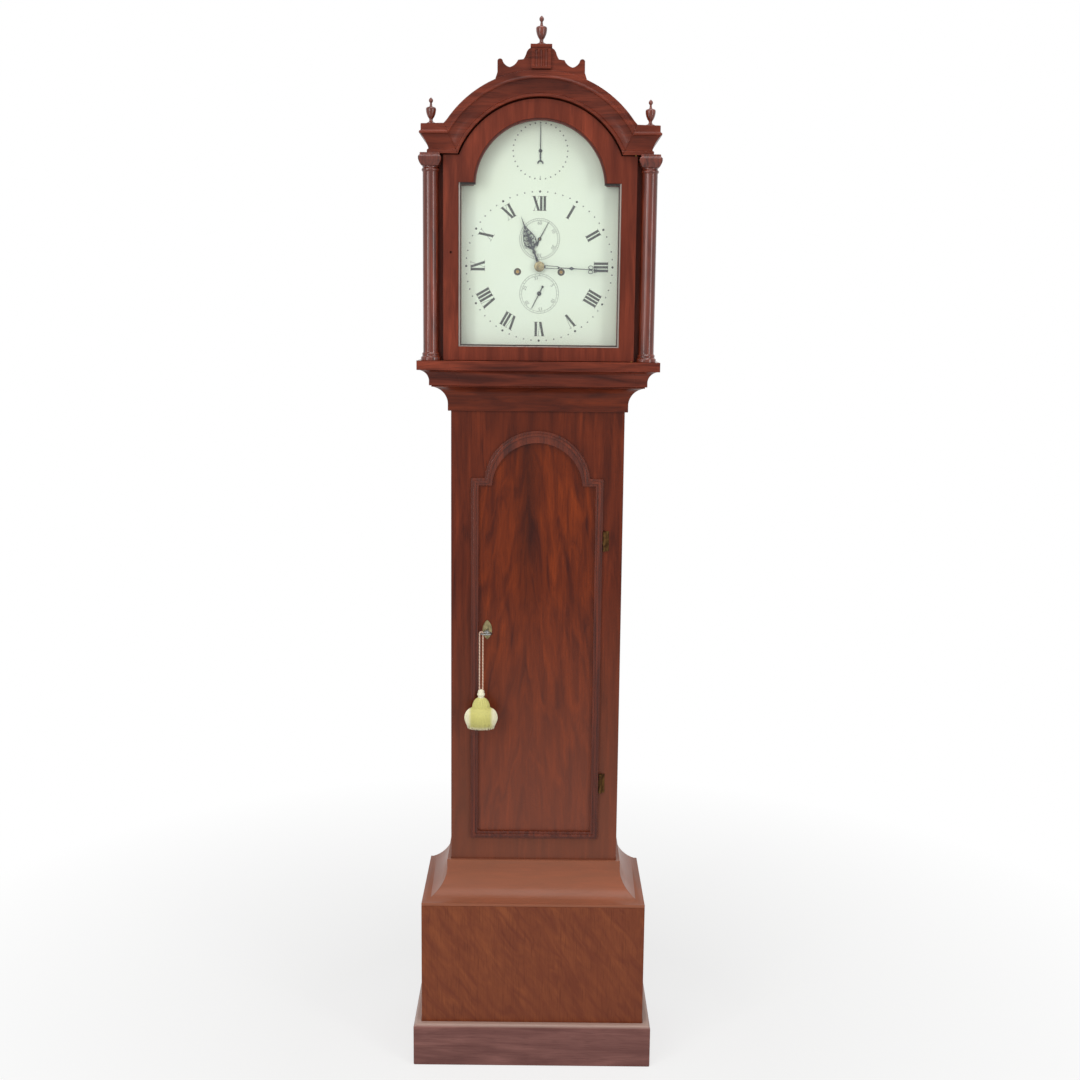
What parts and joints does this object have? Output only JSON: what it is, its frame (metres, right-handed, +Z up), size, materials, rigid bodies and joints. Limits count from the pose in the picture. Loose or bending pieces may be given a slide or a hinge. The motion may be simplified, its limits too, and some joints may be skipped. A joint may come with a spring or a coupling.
{
  "type": "longcase clock",
  "caption": "Tall weight-driven pendulum clock with a break-arch hood, painted dial, arched trunk door, striking bell and panelled base.",
  "frame": {"origin": "on the floor under the middle of the case", "axes": "+Z up, front of the clock faces -Y, +X to the right seen from the front"},
  "size_m": [0.489, 0.266, 2.08],
  "materials": {
    "case_wood": "polished mahogany",
    "plinth_wood": "worn polished mahogany",
    "door_wood": "polished figured mahogany",
    "back_wood": "unpolished oak",
    "hood_wood": "polished mahogany",
    "ebonised_wood": "polished black stain",
    "brass": "lacquered",
    "steel": "polished",
    "blued_steel": "blued",
    "dial_paint": "painted iron dial",
    "glass": "clear",
    "weight_iron": "rough",
    "gut": "twisted gut",
    "cord_silk": "twisted silk cord",
    "tassel_silk": "silk threads"
  },
  "bodies": {
    "case": {"plinth": "plinth_wood", "base_panels": "case_wood", "inner_boards": "back_wood", "case_mouldings": "case_wood", "backboard": "back_wood", "trunk_sides": "case_wood", "trunk_front_frame": "case_wood", "trunk_hinge_case_leaves": "brass", "dial_plate": "dial_paint", "movement_plates": "brass", "movement_pillars": "brass", "bell": "brass", "going_line": "gut", "strike_line": "gut"},
    "trunk_door": {"trunk_door": "door_wood", "trunk_door_moulding": "door_wood", "trunk_lock": "brass", "trunk_hinge_door_leaves": "brass"},
    "key": {"trunk_key": "steel"},
    "tassel": {"tassel_cord": "cord_silk", "tassel": "tassel_silk"},
    "hood": {"hood_base": "hood_wood", "hood_case": "hood_wood", "hood_mask": "hood_wood", "hood_arch_board": "hood_wood", "hood_cornice": "hood_wood", "hood_columns": "hood_wood", "finials": "hood_wood", "cresting": "hood_wood"},
    "hood_door": {"hood_door_frame": "hood_wood", "hood_door_bead": "ebonised_wood", "hood_door_glass": "glass", "hood_door_pivots": "brass"},
    "centre": {"centre_wheel": "brass", "cannon_pinion": "brass", "minute_hand": "blued_steel"},
    "hour": {"hour_wheel": "brass", "hour_hand": "blued_steel"},
    "minute_wheel": {"minute_wheel": "brass"},
    "third": {"third_wheel": "brass"},
    "escape": {"escape_wheel": "brass", "seconds_hand": "blued_steel"},
    "going_great_wheel": {"going_great_wheel": "brass"},
    "going_barrel": {"going_barrel": "brass"},
    "strike_great_wheel": {"strike_great_wheel": "brass"},
    "strike_barrel": {"strike_barrel": "brass"},
    "pin_wheel": {"pin_wheel": "brass"},
    "gathering_wheel": {"gathering_wheel": "brass"},
    "warning_wheel": {"warning_wheel": "brass"},
    "fly": {"fly": "brass"},
    "pallets": {"pallets": "steel"},
    "pendulum": {"pendulum_rod": "steel", "pendulum_bob": "brass"},
    "going_weight": {"going_weight": "weight_iron"},
    "strike_weight": {"strike_weight": "weight_iron"},
    "going_pulley": {"going_pulley": "brass"},
    "strike_pulley": {"strike_pulley": "brass"},
    "date_hand": {"date_hand": "blued_steel"},
    "selector_hand": {"selector_hand": "blued_steel"},
    "bell_hammer": {"bell_hammer": "steel"}
  },
  "joints": [
    {"name": "hood_slide", "type": "slide", "parent": "case", "child": "hood", "axis": [0, -1, 0], "range_m": [0, 0.25]},
    {"name": "hood_door_swing", "type": "hinge", "parent": "hood", "child": "hood_door", "pos_m": [0.18, -0.098, 1.64], "axis": [0, 0, 1], "range_deg": [0, 95]},
    {"name": "trunk_door_swing", "type": "hinge", "parent": "case", "child": "trunk_door", "pos_m": [0.135, -0.0633, 0.84], "axis": [0, 0, 1], "range_deg": [0, 100]},
    {"name": "key_turn", "type": "hinge", "parent": "trunk_door", "child": "key", "pos_m": [-0.098, -0.06, 0.909], "axis": [0, 1, 0], "range_deg": [-90, 0]},
    {"name": "tassel_hang", "type": "hinge", "parent": "key", "child": "tassel", "pos_m": [-0.1085, -0.096, 0.909], "axis": [0, 1, 0], "range_deg": [0, 90]},
    {"name": "escape_turn", "type": "hinge", "parent": "case", "child": "escape", "pos_m": [0, 0, 1.68], "axis": [0, 1, 0], "continuous": true},
    {"name": "third_turn", "type": "hinge", "parent": "case", "child": "third", "pos_m": [0.01226, 0, 1.65483], "axis": [0, 1, 0], "continuous": true},
    {"name": "centre_turn", "type": "hinge", "parent": "case", "child": "centre", "pos_m": [0, 0, 1.628], "axis": [0, 1, 0], "continuous": true},
    {"name": "going_great_turn", "type": "hinge", "parent": "case", "child": "going_great_wheel", "pos_m": [0.042, 0, 1.618], "axis": [0, 1, 0], "continuous": true},
    {"name": "minute_wheel_turn", "type": "hinge", "parent": "case", "child": "minute_wheel", "pos_m": [0, 0, 1.598], "axis": [0, 1, 0], "continuous": true},
    {"name": "hour_turn", "type": "hinge", "parent": "case", "child": "hour", "pos_m": [0, 0, 1.628], "axis": [0, 1, 0], "continuous": true},
    {"name": "fly_turn", "type": "hinge", "parent": "case", "child": "fly", "pos_m": [-0.029, 0, 1.709], "axis": [0, 1, 0], "continuous": true},
    {"name": "warning_turn", "type": "hinge", "parent": "case", "child": "warning_wheel", "pos_m": [-0.04, 0, 1.698], "axis": [0, 1, 0], "continuous": true},
    {"name": "gathering_turn", "type": "hinge", "parent": "case", "child": "gathering_wheel", "pos_m": [-0.03, 0, 1.682], "axis": [0, 1, 0], "continuous": true},
    {"name": "pin_turn", "type": "hinge", "parent": "case", "child": "pin_wheel", "pos_m": [-0.038, 0, 1.655], "axis": [0, 1, 0], "continuous": true},
    {"name": "strike_great_turn", "type": "hinge", "parent": "case", "child": "strike_great_wheel", "pos_m": [-0.042, 0, 1.618], "axis": [0, 1, 0], "continuous": true},
    {"name": "going_weight_drop", "type": "slide", "parent": "case", "child": "going_weight", "axis": [0, 0, 1], "range_m": [0, 0.95], "deforming": ["going_line"]},
    {"name": "strike_weight_drop", "type": "slide", "parent": "case", "child": "strike_weight", "axis": [0, 0, 1], "range_m": [0, 0.95], "deforming": ["strike_line"]},
    {"name": "going_barrel_wind", "type": "hinge", "parent": "case", "child": "going_barrel", "pos_m": [0.042, 0, 1.618], "axis": [0, 1, 0], "range_deg": [-4360, 0]},
    {"name": "strike_barrel_wind", "type": "hinge", "parent": "case", "child": "strike_barrel", "pos_m": [-0.042, 0, 1.618], "axis": [0, 1, 0], "range_deg": [0, 4360]},
    {"name": "going_pulley_turn", "type": "hinge", "parent": "going_weight", "child": "going_pulley", "pos_m": [0.0445, -0.008, 0.34], "axis": [0, 1, 0], "range_deg": [-2425, 0]},
    {"name": "strike_pulley_turn", "type": "hinge", "parent": "strike_weight", "child": "strike_pulley", "pos_m": [-0.0445, -0.008, 0.34], "axis": [0, 1, 0], "range_deg": [0, 2425]},
    {"name": "pendulum_swing", "type": "hinge", "parent": "case", "child": "pendulum", "pos_m": [0, 0.07, 1.707], "axis": [0, 1, 0], "range_deg": [-2.5, 2.5]},
    {"name": "pallets_rock", "type": "hinge", "parent": "case", "child": "pallets", "pos_m": [0, 0, 1.707], "axis": [0, 1, 0], "range_deg": [-2.5, 2.5]},
    {"name": "date_hand_turn", "type": "hinge", "parent": "case", "child": "date_hand", "pos_m": [0, 0, 1.577], "axis": [0, 1, 0], "continuous": true},
    {"name": "selector_hand_turn", "type": "hinge", "parent": "case", "child": "selector_hand", "pos_m": [0, 0, 1.844], "axis": [0, 1, 0], "range_deg": [0, 180]},
    {"name": "bell_hammer_lift", "type": "hinge", "parent": "case", "child": "bell_hammer", "pos_m": [0.046, 0, 1.7], "axis": [0, 1, 0], "range_deg": [0, 12]}
  ],
  "couplings": [
    {"joint": "tassel_hang", "follows": "key_turn", "ratio": -1},
    {"joint": "third_turn", "follows": "escape_turn", "ratio": -0.125},
    {"joint": "centre_turn", "follows": "escape_turn", "ratio": 0.016667},
    {"joint": "going_great_turn", "follows": "escape_turn", "ratio": -0.0013889},
    {"joint": "minute_wheel_turn", "follows": "escape_turn", "ratio": -0.016667},
    {"joint": "hour_turn", "follows": "escape_turn", "ratio": 0.0013889},
    {"joint": "warning_turn", "follows": "fly_turn", "ratio": -0.14286},
    {"joint": "gathering_turn", "follows": "fly_turn", "ratio": 0.017857},
    {"joint": "pin_turn", "follows": "fly_turn", "ratio": -0.0022321},
    {"joint": "strike_great_turn", "follows": "fly_turn", "ratio": 0.00021259},
    {"joint": "going_barrel_wind", "follows": "going_weight_drop", "rad_per_m": -80},
    {"joint": "strike_barrel_wind", "follows": "strike_weight_drop", "rad_per_m": 80},
    {"joint": "going_pulley_turn", "follows": "going_weight_drop", "rad_per_m": -44.444},
    {"joint": "strike_pulley_turn", "follows": "strike_weight_drop", "rad_per_m": 44.444},
    {"joint": "pallets_rock", "follows": "pendulum_swing", "ratio": 1}
  ]
}
